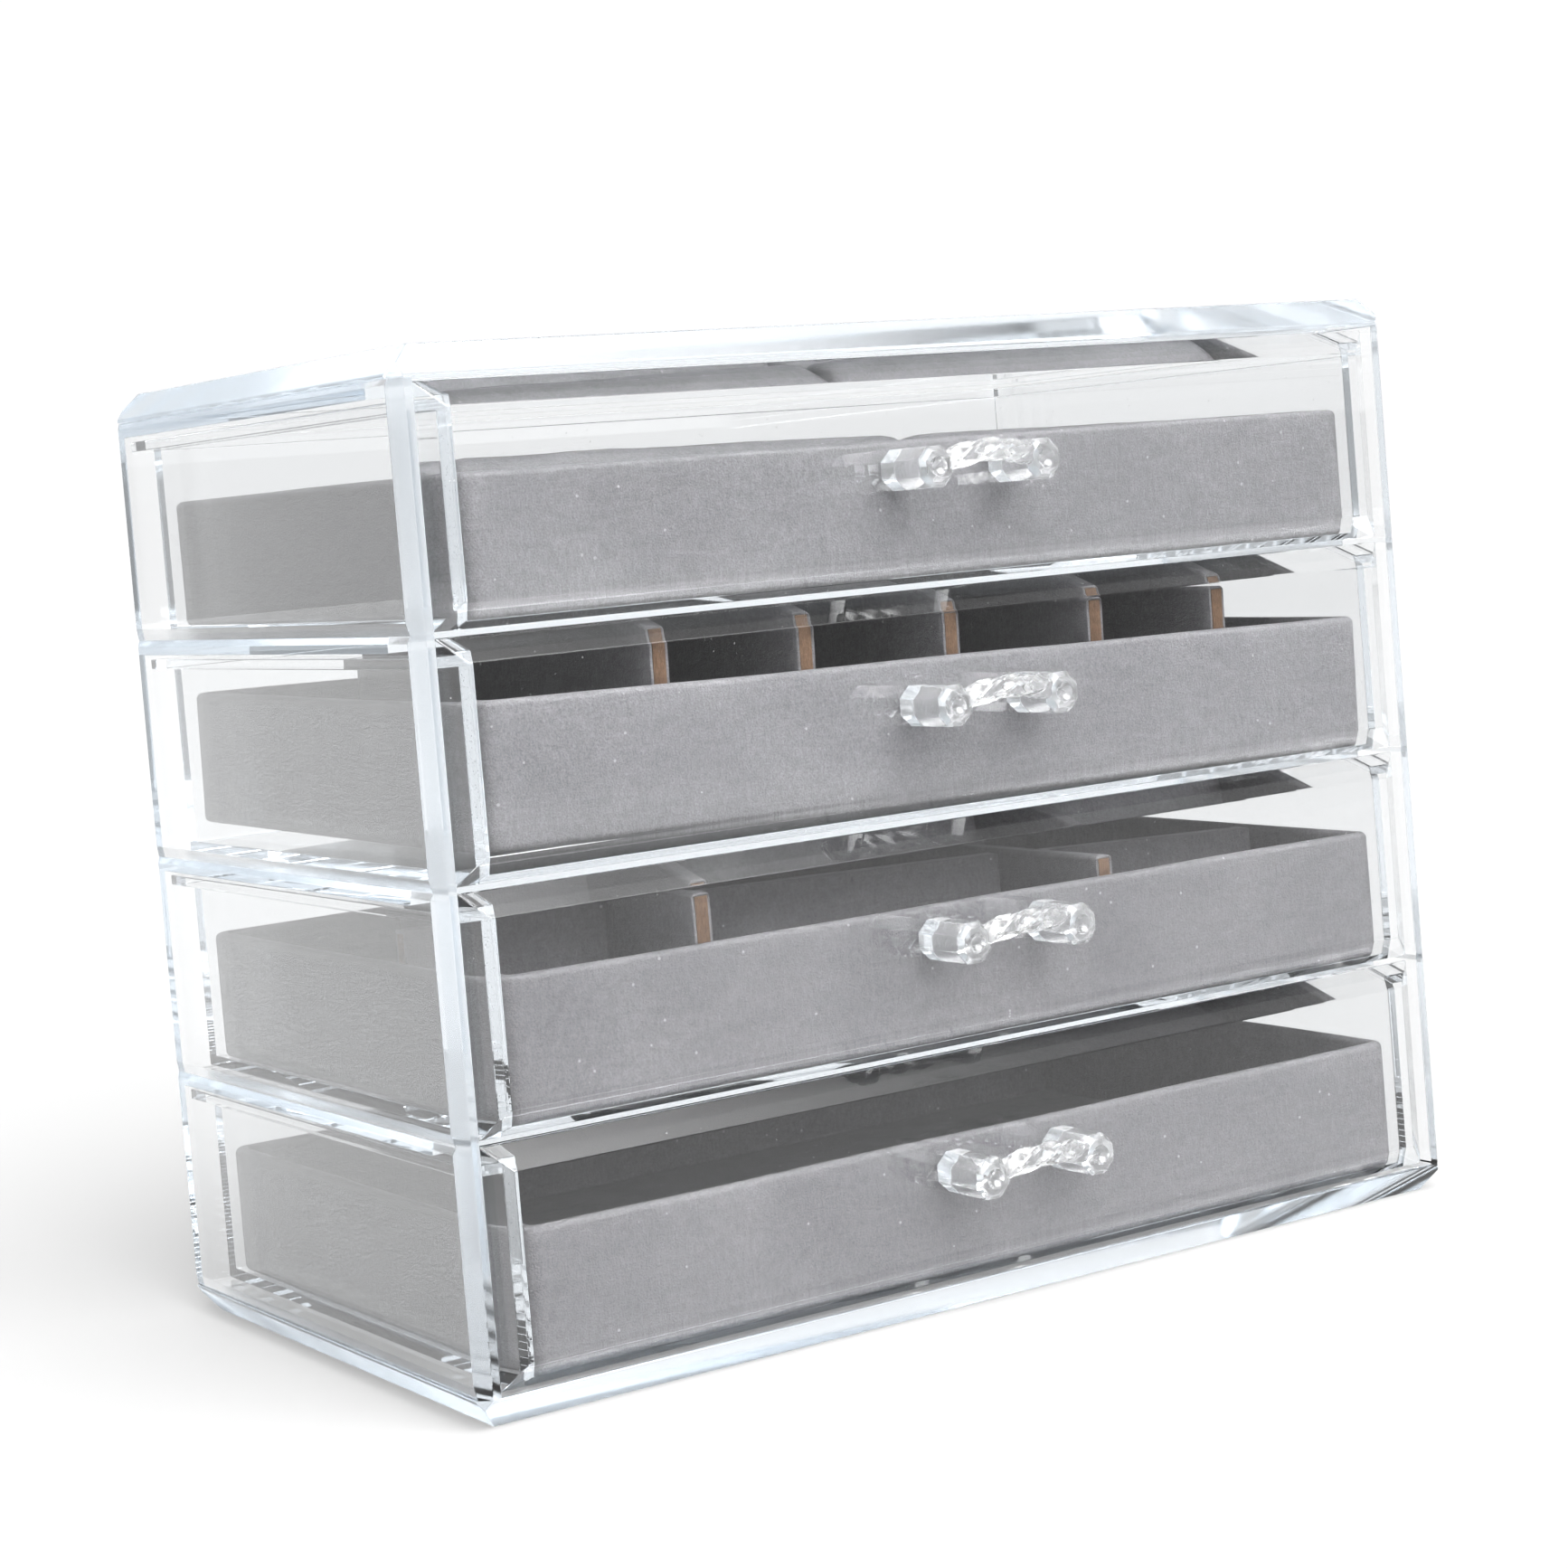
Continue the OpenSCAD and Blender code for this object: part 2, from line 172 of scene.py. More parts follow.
def acrylic(name, tint, absorb, density, haze, dust=0.0, frost=0.0, least=0.0, sawn=0.0, milk=0.0):
    """Clear acrylic: a faint tint in the depth of the plastic, handling smudges on its faces, satin sloping edges and
    specks of dust."""
    mat, nt, bsdf, out = new_material(name)
    bsdf.inputs["IOR"].default_value = 1.49
    bsdf.inputs["Transmission Weight"].default_value = 1.0 - milk
    vec = coords(nt)
    smudge = noise_tex(nt, vec, 38.0, 4.0, 0.6, 0.4)
    fine = noise_tex(nt, vec, 900.0, 2.0, 0.5)
    rough = ramp(nt, smudge, [(0.45, grey(least)), (0.62, grey(least + haze)), (0.8, grey(least + haze * 2.2))])
    if frost:
        # edges that were flame-polished or moulded on a slope are a touch satin, the flat faces stay clear
        geo = nt.nodes.new("ShaderNodeNewGeometry")
        sepn = nt.nodes.new("ShaderNodeSeparateXYZ")
        nt.links.new(geo.outputs["True Normal"], sepn.inputs[0])
        ax = [math_node(nt, "ABSOLUTE", sepn.outputs[k]) for k in range(3)]
        top = math_node(nt, "MAXIMUM", math_node(nt, "MAXIMUM", ax[0], ax[1]), ax[2])
        slope = math_node(nt, "LESS_THAN", top, 0.995)
        sideways = math_node(nt, "GREATER_THAN", ax[0], ax[1])
        amount = math_node(nt, "ADD", math_node(nt, "MULTIPLY", sideways, 0.6), 0.4)
        sloping = math_node(nt, "MULTIPLY", slope, amount)
        # the sawn front ends of the walls
        place = nt.nodes.new("ShaderNodeSeparateXYZ")
        nt.links.new(vec, place.inputs[0])
        ends = math_node(nt, "MULTIPLY", math_node(nt, "GREATER_THAN", ax[1], 0.995), math_node(nt, "LESS_THAN", place.outputs[1], -0.05))
        satin = ramp(nt, smudge, [(0.3, grey(frost * 0.85)), (0.7, grey(frost * 1.15))])
        soft = math_node(nt, "MULTIPLY", math_node(nt, "ADD", sloping, math_node(nt, "MULTIPLY", ends, sawn)), satin)
        rough = math_node(nt, "MAXIMUM", soft, rough)
    nt.links.new(rough, bsdf.inputs["Roughness"])
    colour = ramp(nt, fine, [(0.3, tint), (0.7, tuple(min(1.0, c + 0.01) for c in tint))])
    nt.links.new(colour, bsdf.inputs["Base Color"])
    if dust:
        vor = nt.nodes.new("ShaderNodeTexVoronoi")
        vor.inputs["Scale"].default_value = 620.0
        nt.links.new(vec, vor.inputs["Vector"])
        sep = nt.nodes.new("ShaderNodeSeparateColor")
        nt.links.new(vor.outputs["Color"], sep.inputs["Color"])
        size = math_node(nt, "MULTIPLY", sep.outputs[1], 0.12)
        dot = math_node(nt, "LESS_THAN", vor.outputs["Distance"], size)
        patchy = noise_tex(nt, vec, 30.0, 3.0, 0.6)
        few = math_node(nt, "LESS_THAN", sep.outputs[0], math_node(nt, "MULTIPLY", patchy, 0.75))
        speck = math_node(nt, "MULTIPLY", math_node(nt, "MULTIPLY", dot, few), dust)
        white = nt.nodes.new("ShaderNodeBsdfDiffuse")
        white.inputs["Color"].default_value = (0.75, 0.75, 0.75, 1)
        mix = nt.nodes.new("ShaderNodeMixShader")
        nt.links.new(speck, mix.inputs[0])
        nt.links.new(bsdf.outputs["BSDF"], mix.inputs[1])
        nt.links.new(white.outputs["BSDF"], mix.inputs[2])
        nt.links.new(mix.outputs[0], out.inputs["Surface"])
    vol = nt.nodes.new("ShaderNodeVolumeAbsorption")
    vol.inputs["Color"].default_value = (*absorb, 1)
    vol.inputs["Density"].default_value = density
    nt.links.new(vol.outputs["Volume"], out.inputs["Volume"])
    return mat


def velvet_material(name, base, dark, light):
    """Short grey flock: mottled pile direction, fine grain, lint specks and a soft sheen."""
    mat, nt, bsdf, out = new_material(name)
    vec = coords(nt)
    bsdf.inputs["Sheen Weight"].default_value = 0.2
    bsdf.inputs["Sheen Roughness"].default_value = 0.35
    bsdf.inputs["Sheen Tint"].default_value = (0.86, 0.86, 0.90, 1)
    bsdf.inputs["Specular IOR Level"].default_value = 0.08
    bsdf.inputs["Roughness"].default_value = 0.95
    grain = noise_tex(nt, vec, 2600.0, 2.0, 0.6)
    cloud = noise_tex(nt, vec, 26.0, 4.0, 0.55, 0.6)
    patch = noise_tex(nt, coords(nt, (1, 1, 3.0)), 150.0, 3.0, 0.6, 1.2)
    col = ramp(nt, cloud, [(0.3, dark), (0.5, base), (0.7, light)])
    col = mix_colour(nt, 0.35, col, ramp(nt, patch, [(0.35, dark), (0.65, light)]))
    col = mix_colour(nt, 0.5, col, ramp(nt, grain, [(0.3, grey(0.62)), (0.7, grey(1.25))]), "MULTIPLY")
    pile = noise_tex(nt, coords(nt, (1, 1, 0.4)), 1150.0, 2.0, 0.65)
    col = mix_colour(nt, 0.32, col, ramp(nt, pile, [(0.32, grey(0.72)), (0.68, grey(1.22))]), "MULTIPLY")
    # lint: small pale specks, few of them
    vor = nt.nodes.new("ShaderNodeTexVoronoi")
    vor.inputs["Scale"].default_value = 330.0
    vor.inputs["Randomness"].default_value = 1.0
    nt.links.new(vec, vor.inputs["Vector"])
    dot = math_node(nt, "LESS_THAN", vor.outputs["Distance"], 0.10)
    sep = nt.nodes.new("ShaderNodeSeparateColor")
    nt.links.new(vor.outputs["Color"], sep.inputs["Color"])
    few = math_node(nt, "GREATER_THAN", sep.outputs[0], 0.80)
    lint = math_node(nt, "MULTIPLY", dot, few)
    lint = math_node(nt, "MULTIPLY", lint, 0.3)
    col = mix_colour(nt, lint, col, (0.62, 0.62, 0.62))
    nt.links.new(col, bsdf.inputs["Base Color"])
    n1 = bump(nt, grain, 0.6, 0.00025)
    n2 = bump(nt, pile, 0.3, 0.0003, bump(nt, patch, 0.25, 0.0006, n1))
    nt.links.new(n2, bsdf.inputs["Normal"])
    return mat


def board_material():
    """Raw fibreboard: pressed brown fibres with darker flecks."""
    mat, nt, bsdf, out = new_material("fibreboard")
    vec = coords(nt, (1, 1, 1))
    fibre = noise_tex(nt, coords(nt, (3.0, 1.0, 0.6)), 1400.0, 4.0, 0.7, 0.8)
    fleck = noise_tex(nt, vec, 700.0, 2.0, 0.5, 0.3)
    broad = noise_tex(nt, vec, 60.0, 2.0, 0.5)
    col = ramp(nt, fibre, [(0.25, (0.056, 0.030, 0.016)), (0.5, (0.130, 0.076, 0.045)), (0.75, (0.205, 0.134, 0.086))])
    col = mix_colour(nt, 0.5, col, ramp(nt, fleck, [(0.35, grey(0.55)), (0.6, grey(1.1))]), "MULTIPLY")
    col = mix_colour(nt, 0.3, col, ramp(nt, broad, [(0.4, (0.085, 0.048, 0.026)), (0.6, (0.150, 0.091, 0.055))]))
    nt.links.new(col, bsdf.inputs["Base Color"])
    bsdf.inputs["Roughness"].default_value = 0.9
    bsdf.inputs["Specular IOR Level"].default_value = 0.15
    nt.links.new(bump(nt, fibre, 0.5, 0.0003), bsdf.inputs["Normal"])
    return mat


CASE = acrylic("case_acrylic", (0.975, 0.979, 0.982), (0.70, 0.82, 0.92), 2.6, 0.015, frost=0.22, sawn=0.6)
DRAWER = acrylic("drawer_acrylic", (0.975, 0.979, 0.982), (0.70, 0.82, 0.92), 2.6, 0.015, 0.22, frost=0.09)
HANDLE = acrylic("handle_acrylic", (0.985, 0.990, 0.995), (0.78, 0.88, 0.95), 4.0, 0.02, least=0.03, milk=0.05)
VELVET = velvet_material("velvet", (0.208, 0.205, 0.214), (0.179, 0.177, 0.184), (0.244, 0.240, 0.250))
# trays 2, 3 and 4 are the same flock as tray 1, painted darker: painted shade that holds back the floor's bounce light
# on the lower drawer fronts
VELVET_SHADED_SECOND = velvet_material("velvet_second_painted_shade", (0.203, 0.200, 0.209), (0.175, 0.173, 0.180), (0.238, 0.234, 0.244))
VELVET_SHADED_LOWER = velvet_material("velvet_lower_painted_shade", (0.154, 0.152, 0.159), (0.133, 0.131, 0.137), (0.182, 0.178, 0.186))
# the dividers are the same flock painted darker still: painted shade for the drawers' interiors
VELVET_FOLD_SHADED = velvet_material("velvet_dividers_painted_shade", (0.142, 0.140, 0.147), (0.120, 0.118, 0.124), (0.172, 0.169, 0.177))
BOARD = board_material()


def paint(obj, mat):
    obj.data.materials.clear()
    obj.data.materials.append(mat)


# ---------------------------------------------------------------- clear pieces: CAD shape, eased edges


def welded(name, parts, body, mat, width):
    """One clear piece for the plates that are solvent-welded together: no air is left in their joints."""
    ob = None
    for part in parts:
        bm = bmesh.new()
        bm.from_mesh(nodes[part].data)
        bmesh.ops.remove_doubles(bm, verts=bm.verts, dist=1e-6)
        bmesh.ops.dissolve_limit(bm, angle_limit=math.radians(0.3), verts=bm.verts, edges=bm.edges)
        me = bpy.data.meshes.new(name)
        bm.to_mesh(me)
        bm.free()
        me.materials.clear()
        me.materials.append(mat)
        piece = bpy.data.objects.new(name if ob is None else "plate", me)
        scene.collection.objects.link(piece)
        if ob is None:
            ob = piece
            continue
        mod = ob.modifiers.new("join", "BOOLEAN")
        mod.operation, mod.solver, mod.object = "UNION", "EXACT", piece
        dg = bpy.context.evaluated_depsgraph_get()
        joined = bpy.data.meshes.new_from_object(ob.evaluated_get(dg))
        ob.modifiers.clear()
        ob.data = joined
        bpy.data.objects.remove(piece)
    bm = bmesh.new()
    bm.from_mesh(ob.data)
    bmesh.ops.remove_doubles(bm, verts=bm.verts, dist=2e-6)
    bmesh.ops.dissolve_limit(bm, angle_limit=math.radians(0.3), verts=bm.verts, edges=bm.edges)
    bm.to_mesh(ob.data)
    bm.free()
    b = ob.modifiers.new("ease", "BEVEL")
    b.width, b.segments, b.limit_method, b.angle_limit = width, 2, "ANGLE", math.radians(8)
    b.harden_normals = False
    b.use_clamp_overlap = True
    dg = bpy.context.evaluated_depsgraph_get()
    eased = bpy.data.meshes.new_from_object(ob.evaluated_get(dg))
    ob.modifiers.clear()
    ob.data = eased
    for p in ob.data.polygons:
        p.use_smooth = False
        p.material_index = 0
    ob.data.materials.clear()
    ob.data.materials.append(mat)
    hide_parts(*parts)
    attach(ob, body)
    return ob


welded("clear_case", ["base_plate", "case_tier_4", "case_tier_3", "case_tier_2", "case_tier_1"],
       "case", CASE, 0.00025)
welded("clear_cover", ["top_cover"], "case", CASE, 0.00025).location = (0, 0, 0.00005)
for i in (1, 2, 3, 4):
    welded("clear_box_%d" % i, ["drawer_box_%d" % i], "drawer_%d" % i, DRAWER, 0.0002)
    welded("clear_front_%d" % i, ["drawer_front_%d" % i], "drawer_%d" % i, DRAWER, 0.0002).location = (0, -0.00005, 0)


# ---------------------------------------------------------------- mesh helpers


def mesh_object(name, bm, mat, smooth=True):
    me = bpy.data.meshes.new(name)
    bm.normal_update()
    bm.to_mesh(me)
    bm.free()
    ob = bpy.data.objects.new(name, me)
    scene.collection.objects.link(ob)
    me.materials.append(mat)
    for p in me.polygons:
        p.use_smooth = smooth
    return ob


def apply_modifiers(ob):
    dg = bpy.context.evaluated_depsgraph_get()
    me = bpy.data.meshes.new_from_object(ob.evaluated_get(dg))
    old = ob.data
    ob.modifiers.clear()
    ob.data = me
    bpy.data.meshes.remove(old)
    return ob


def add_loft(bm, rings, close_ends=True):
    """rings: lists of points of one length, joined in turn; the ends are capped by a fan."""
    rows = [[bm.verts.new(p) for p in r] for r in rings]
    n = len(rows[0])
    for a, b in zip(rows, rows[1:]):
        for k in range(n):
            bm.faces.new((a[k], a[(k + 1) % n], b[(k + 1) % n], b[k]))
    if close_ends:
        bm.faces.new(list(reversed(rows[0])))
        bm.faces.new(rows[-1])
    return rows


# ---------------------------------------------------------------- handles

HANDLE_SPAN, POST_W, POST_L = 25.6, 8.0, 14.0
BAR_D, BAR_RISE, BAR_BOW = 4.8, 2.6, 3.0


def post_mesh(bm, x):
    r = POST_W / 2 / math.cos(math.pi / 8)

    def ring(rad, y):
        return [Vector((x + rad * math.cos(math.radians(22.5 + 45 * k)), -y, rad * math.sin(math.radians(22.5 + 45 * k)))) * MM for k in range(8)]

    add_loft(bm, [ring(r, 0.03), ring(r, POST_L - 1.0), ring(r - 1.0, POST_L)])


def bar_mesh(bm, turns=1.0, n=72, sides=24):
    rings = []
    for j in range(n + 1):
        t = j / n
        p = Vector(((t - 0.5) * HANDLE_SPAN, -(POST_L - 3.2) - BAR_BOW * math.sin(math.pi * t), BAR_RISE * math.sin(math.pi * t)))
        d = Vector((HANDLE_SPAN, -BAR_BOW * math.pi * math.cos(math.pi * t), BAR_RISE * math.pi * math.cos(math.pi * t))).normalized()
        u = d.cross(Vector((0, 0, 1))).normalized()
        v = u.cross(d)
        row = []
        for k in range(sides):
            a = 2 * math.pi * k / sides
            r = BAR_D / 2 * (0.9 + 0.1 * math.cos(4 * a))
            b = a + 2 * math.pi * turns * t
            row.append((p + r * math.cos(b) * u + r * math.sin(b) * v) * MM)
        rings.append(row)
    add_loft(bm, rings)


def build_handle():
    bm = bmesh.new()
    post_mesh(bm, -HANDLE_SPAN / 2)
    post_mesh(bm, HANDLE_SPAN / 2)
    bmesh.ops.recalc_face_normals(bm, faces=bm.faces)
    ob = mesh_object("handle_work", bm, HANDLE, smooth=False)
    b = ob.modifiers.new("ease", "BEVEL")
    b.width, b.segments, b.limit_method, b.angle_limit = 0.00025, 2, "ANGLE", math.radians(20)
    apply_modifiers(ob)
    # the dimples in the two ends
    tools = []
    for s in (-1, 1):
        bm = bmesh.new()
        bmesh.ops.create_uvsphere(bm, u_segments=40, v_segments=24, radius=0.0023,
                                  matrix=Matrix.Translation(Vector((s * HANDLE_SPAN / 2, -POST_L - 1.2, 0)) * MM))
        tools.append((mesh_object("dimple", bm, HANDLE), "DIFFERENCE"))
    bm = bmesh.new()
    bar_mesh(bm)
    bmesh.ops.recalc_face_normals(bm, faces=bm.faces)
    tools.append((mesh_object("bar", bm, HANDLE), "UNION"))
    for tool, how in tools:
        mod = ob.modifiers.new("cut", "BOOLEAN")
        mod.operation = how
        mod.object = tool
        mod.solver = "EXACT"
        apply_modifiers(ob)
    for tool, _ in tools:
        bpy.data.objects.remove(tool)
    ob.data.materials.clear()
    ob.data.materials.append(HANDLE)
    # smooth shading on the bar and dimples, flat on the posts' faces
    ob.data.shade_smooth() if hasattr(ob.data, "shade_smooth") else None
    try:
        ob.data.set_sharp_from_angle(angle=math.radians(22))
    except AttributeError:
        pass
    return ob


handle = build_handle()
for i in (1, 2, 3, 4):
    lo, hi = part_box("drawer_handle_%d" % i)
    front_lo, front_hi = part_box("drawer_front_%d" % i)
    post_z = (front_lo.z + front_hi.z) / 2
    ob = bpy.data.objects.new("clear_handle_%d" % i, handle.data.copy())
    scene.collection.objects.link(ob)
    ob.data.transform(Matrix.Translation((0, hi.y, post_z)))
    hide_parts("drawer_handle_%d" % i)
    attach(ob, "drawer_%d" % i)
bpy.data.objects.remove(handle)

# ---------------------------------------------------------------- velvet trays


def rounded_outline(x0, x1, y0, y1, r, per_mm=0.35, arc=6):
    """Points round a rectangle with rounded corners, with extra points along the sides."""
    pts = []
    corners = [(x1 - r, y0 + r, -90), (x1 - r, y1 - r, 0), (x0 + r, y1 - r, 90), (x0 + r, y0 + r, 180)]
    for i, (cx, cy, a0) in enumerate(corners):
        for k in range(arc + 1):
            a = math.radians(a0 + 90 * k / arc)
            pts.append((cx + r * math.cos(a), cy + r * math.sin(a)))
        nx, ny, na = corners[(i + 1) % 4]
        a = math.radians(na)
        end = (nx + r * math.cos(a), ny + r * math.sin(a))
        start = pts[-1]
        n = max(2, int(math.hypot(end[0] - start[0], end[1] - start[1]) * per_mm))
        for k in range(1, n):
            t = k / n
            pts.append((start[0] + (end[0] - start[0]) * t, start[1] + (end[1] - start[1]) * t))
    return pts


def tray_matrix(i):
    """How a tray stands: the second one rests a little raised at its left and its rear."""
    if i != 2:
        return Matrix.Identity(4)
    tx, y0, y1 = 105.1, -64.2, 61.2
    lift, back = math.asin(3.3 / (2 * tx)), math.asin(1.0 / (y1 - y0))
    turn = Matrix.Rotation(lift, 4, "Y") @ Matrix.Rotation(back, 4, "X")
    pivot = Vector((tx, y0, 0)) * MM
    return Matrix.Translation(pivot) @ turn @ Matrix.Translation(-pivot)


def build_tray(i, height, seed):
    x, y0, y1 = 105.1, -64.2, 61.2
    t, rc, floor_t = 3.0, 3.5, 2.5
    outer = lambda d, r: rounded_outline(-x + d, x - d, y0 + d, y1 - d, max(0.6, r))
    rings = []
    # outside face, from the bottom edge up, over the rounded rim, down the inside to the floor
    prof_out = [(1.2, 0.0), (0.35, 0.35), (0.0, 1.2)]
    steps = [0.12, 0.25, 0.38, 0.5, 0.62, 0.75, 0.88]
    prof_out += [(0.0, 1.2 + (height - 2.6) * s) for s in steps]
    rr = 1.3
    for k in range(0, 9):
        a = math.radians(180 - 180 * k / 8)
        prof_out.append((t / 2 + (t / 2) * math.cos(a), height - rr + rr * math.sin(a)))
    for s in reversed(steps):
        prof_out.append((t, floor_t + 0.8 + (height - floor_t - 2.4) * s))
    prof_out += [(t, floor_t + 0.7), (t + 0.25, floor_t + 0.25), (t + 0.8, floor_t)]
    bm = bmesh.new()
    for d, z in prof_out:
        rings.append([Vector((px, py, z)) * MM for px, py in outer(d, rc - d)])
    n = min(len(r) for r in rings)
    # the number of points along the sides differs a little between rings, so all follow the outermost one
    base = rounded_outline(-x, x, y0, y1, rc)
    rings = []
    for d, z in prof_out:
        r = max(0.6, rc - d)
        row = []
        for px, py in base:
            qx = min(max(px, -x + rc), x - rc)
            qy = min(max(py, y0 + rc), y1 - rc)
            vx, vy = px - qx, py - qy
            # direction out from the corner's centre, or straight out along a side
            length = math.hypot(vx, vy)
            ux, uy = vx / length, vy / length
            cx = math.copysign(x - d - r, qx) if abs(abs(qx) - (x - rc)) < 1e-6 else qx * (x - d - r) / (x - rc)
            ym, yh = (y0 + y1) / 2, (y1 - y0) / 2
            cy = ym + (qy - ym) * (yh - d - r) / (yh - rc)
            row.append(Vector((cx + ux * r, cy + uy * r, z)) * MM)
        rings.append(row)
    add_loft(bm, rings)
    bmesh.ops.recalc_face_normals(bm, faces=bm.faces)
    # the card walls bow a little and the flock is not quite even
    amp = 0.00022
    for v in bm.verts:
        c = v.co * 22.0
        wob = noise.noise_vector(c + Vector((seed, 0, 0)))
        side = 1.0 if v.co.z > 0.004 else 0.15
        v.co += Vector((wob.x * amp * side, wob.y * amp * side, wob.z * 0.00025 * side))
    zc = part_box("velvet_tray_%d" % i)[0].z if i != 2 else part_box("velvet_tray_4")[0].z + 2 * 0.04575
    bm.transform(Matrix.Translation((0, 0, zc)) @ tray_matrix(i))
    # trays 2, 3 and 4 take the darker copies of the velvet, which is painted shade
    ob = mesh_object("flocked_tray_%d" % i, bm, {1: VELVET, 2: VELVET_SHADED_SECOND}.get(i, VELVET_SHADED_LOWER))
    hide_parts("velvet_tray_%d" % i)
    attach(ob, "drawer_%d" % i)
    return ob


TRAY_H = {1: 26.2, 2: 27.3, 3: 26.5, 4: 26.4}
for i in (1, 2, 3, 4):
    build_tray(i, TRAY_H[i], 3.7 * i)

# ---------------------------------------------------------------- dividers: velvet wraps over raw boards


def build_wrap(node, board, body, name, seed):
    """Velvet folded over a board: both sides and the rounded top, open below; it follows its CAD solid."""
    src = nodes[node]
    bm = bmesh.new()
    bm.from_mesh(src.data)
    bmesh.ops.remove_doubles(bm, verts=bm.verts, dist=1e-6)
    bmesh.ops.dissolve_limit(bm, angle_limit=math.radians(1.0), verts=bm.verts, edges=bm.edges)
    # the darker divider velvet is painted shade
    ob = mesh_object(name, bm, VELVET_FOLD_SHADED, smooth=False)
    b = ob.modifiers.new("ease", "BEVEL")
    b.width, b.segments, b.limit_method, b.angle_limit = 0.00022, 2, "ANGLE", math.radians(30)
    apply_modifiers(ob)
    bm = bmesh.new()
    bm.from_mesh(ob.data)
    bmesh.ops.triangulate(bm, faces=bm.faces)
    for _ in range(9):
        long_edges = [e for e in bm.edges if e.calc_length() > 0.006]
        if not long_edges:
            break
        bmesh.ops.subdivide_edges(bm, edges=long_edges, cuts=1)
        bmesh.ops.triangulate(bm, faces=[f for f in bm.faces if len(f.verts) > 3])
    lo = min(v.co.z for v in bm.verts)
    for v in bm.verts:
        if v.co.z > lo + 0.01:
            w = noise.noise_vector(v.co * 60.0 + Vector((seed, seed, 0)))
            v.co += w * 0.00009
    bm.to_mesh(ob.data)
    bm.free()
    for p in ob.data.polygons:
        p.use_smooth = True
    ob.data.set_sharp_from_angle(angle=math.radians(50))
    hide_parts(node)
    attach(ob, body)
    lo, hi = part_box(node)
    paint(nodes[board], BOARD)
    return ob


for k in range(1, 6):
    build_wrap("divider_wrap_%d" % k, "divider_board_%d" % k, "drawer_2", "long_divider_velvet_%d" % k, 1.3 * k)
for k, (w, b) in enumerate([("tall_divider_wrap", "tall_divider_board"), ("low_divider_wrap", "low_divider_board"),
                            ("cross_wrap_left", "cross_board_left"), ("cross_wrap_middle", "cross_board_middle"),
                            ("cross_wrap_right", "cross_board_right")]):
    build_wrap(w, b, "drawer_3", w.replace("wrap", "velvet"), 9.1 + k)

# ---------------------------------------------------------------- ring rolls


def build_roll(node, name, seed, sag):
    lo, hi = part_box(node)
    length = hi.x - lo.x
    r = (hi.y - lo.y) / 2
    yc = (hi.y + lo.y) / 2
    n = 40
    sides = 40
    rings = []
    for j in range(n + 1):
        t = j / n
        # rounded ends, and a waist that gives a little between the stitched ends
        end = min(t, 1 - t) * length
        k = min(1.0, end / 0.006)
        shrink = 0.0022 * (1 - math.sqrt(max(0.0, 1 - (1 - k) ** 2)))
        x = lo.x + length * t
        row = []
        for s in range(sides):
            a = 2 * math.pi * s / sides
            cz = (lo.z + r) if math.sin(a) < 0 else (hi.z - r - sag * t)
            rad = r - 0.0001 - shrink
            row.append(Vector((x, yc + rad * math.cos(a), cz + rad * math.sin(a))))
        rings.append(row)
    bm = bmesh.new()
    add_loft(bm, rings)
    bmesh.ops.recalc_face_normals(bm, faces=bm.faces)
    for v in bm.verts:
        w = noise.noise(Vector((v.co.x * 45.0, v.co.y * 90.0, v.co.z * 90.0)) + Vector((seed, 0, seed)))
        w2 = noise.noise(Vector((v.co.x * 160.0, v.co.y * 200.0, v.co.z * 200.0)) + Vector((0, seed, seed)))
        v.co += Vector((0, v.co.y - yc, v.co.z - (lo.z + hi.z) / 2)).normalized() * (-0.00035 + 0.0004 * w + 0.00012 * w2)
    ob = mesh_object(name, bm, VELVET)
    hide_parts(node)
    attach(ob, "drawer_1")
    return ob


for side in ("left", "right"):
    for k in range(1, 6):
        build_roll("ring_roll_%s_%d" % (side, k), "ring_cushion_%s_%d" % (side, k), 2.9 * k + (0 if side == "left" else 40),
                   (0.0010 if side == "left" else 0.0015) if k == 1 else 0.0)

# ---------------------------------------------------------------- stage and light


def stage_plane():
    bm = bmesh.new()
    s = 6.0
    z = -0.0002
    vs = [bm.verts.new(p) for p in ((-s, -s, z), (s, -s, z), (s, s, z), (-s, s, z))]
    bm.faces.new(vs)
    mat, nt, bsdf, out = new_material("stage_white")
    bsdf.inputs["Roughness"].default_value = 0.9
    bsdf.inputs["Specular IOR Level"].default_value = 0.1
    vec = coords(nt)
    col = ramp(nt, noise_tex(nt, vec, 3.0, 2.0), [(0.3, grey(0.250)), (0.7, grey(0.258))])
    # the sweep ends on the viewer's side, where the room is greyer
    dot = nt.nodes.new("ShaderNodeVectorMath")
    dot.operation = "DOT_PRODUCT"
    nt.links.new(vec, dot.inputs[0])
    dot.inputs[1].default_value = (0.62, -0.785, 0.0)
    far = nt.nodes.new("ShaderNodeMapRange")
    far.interpolation_type = "SMOOTHSTEP"
    nt.links.new(dot.outputs["Value"], far.inputs["Value"])
    far.inputs["From Min"].default_value, far.inputs["From Max"].default_value = 0.75, 1.5
    far.inputs["To Min"].default_value, far.inputs["To Max"].default_value = 1.0, 0.28
    nt.links.new(mix_colour(nt, 1.0, col, far.outputs["Result"], "MULTIPLY"), bsdf.inputs["Base Color"])
    # the floor also glows a little: painted light that lifts the shadows on it, and the glow fades with the sweep
    bsdf.inputs["Emission Color"].default_value = (1, 1, 1, 1)
    nt.links.new(math_node(nt, "MULTIPLY", far.outputs["Result"], 0.35), bsdf.inputs["Emission Strength"])
    ob = mesh_object("floor", bm, mat, smooth=False)
    return ob


stage_plane()

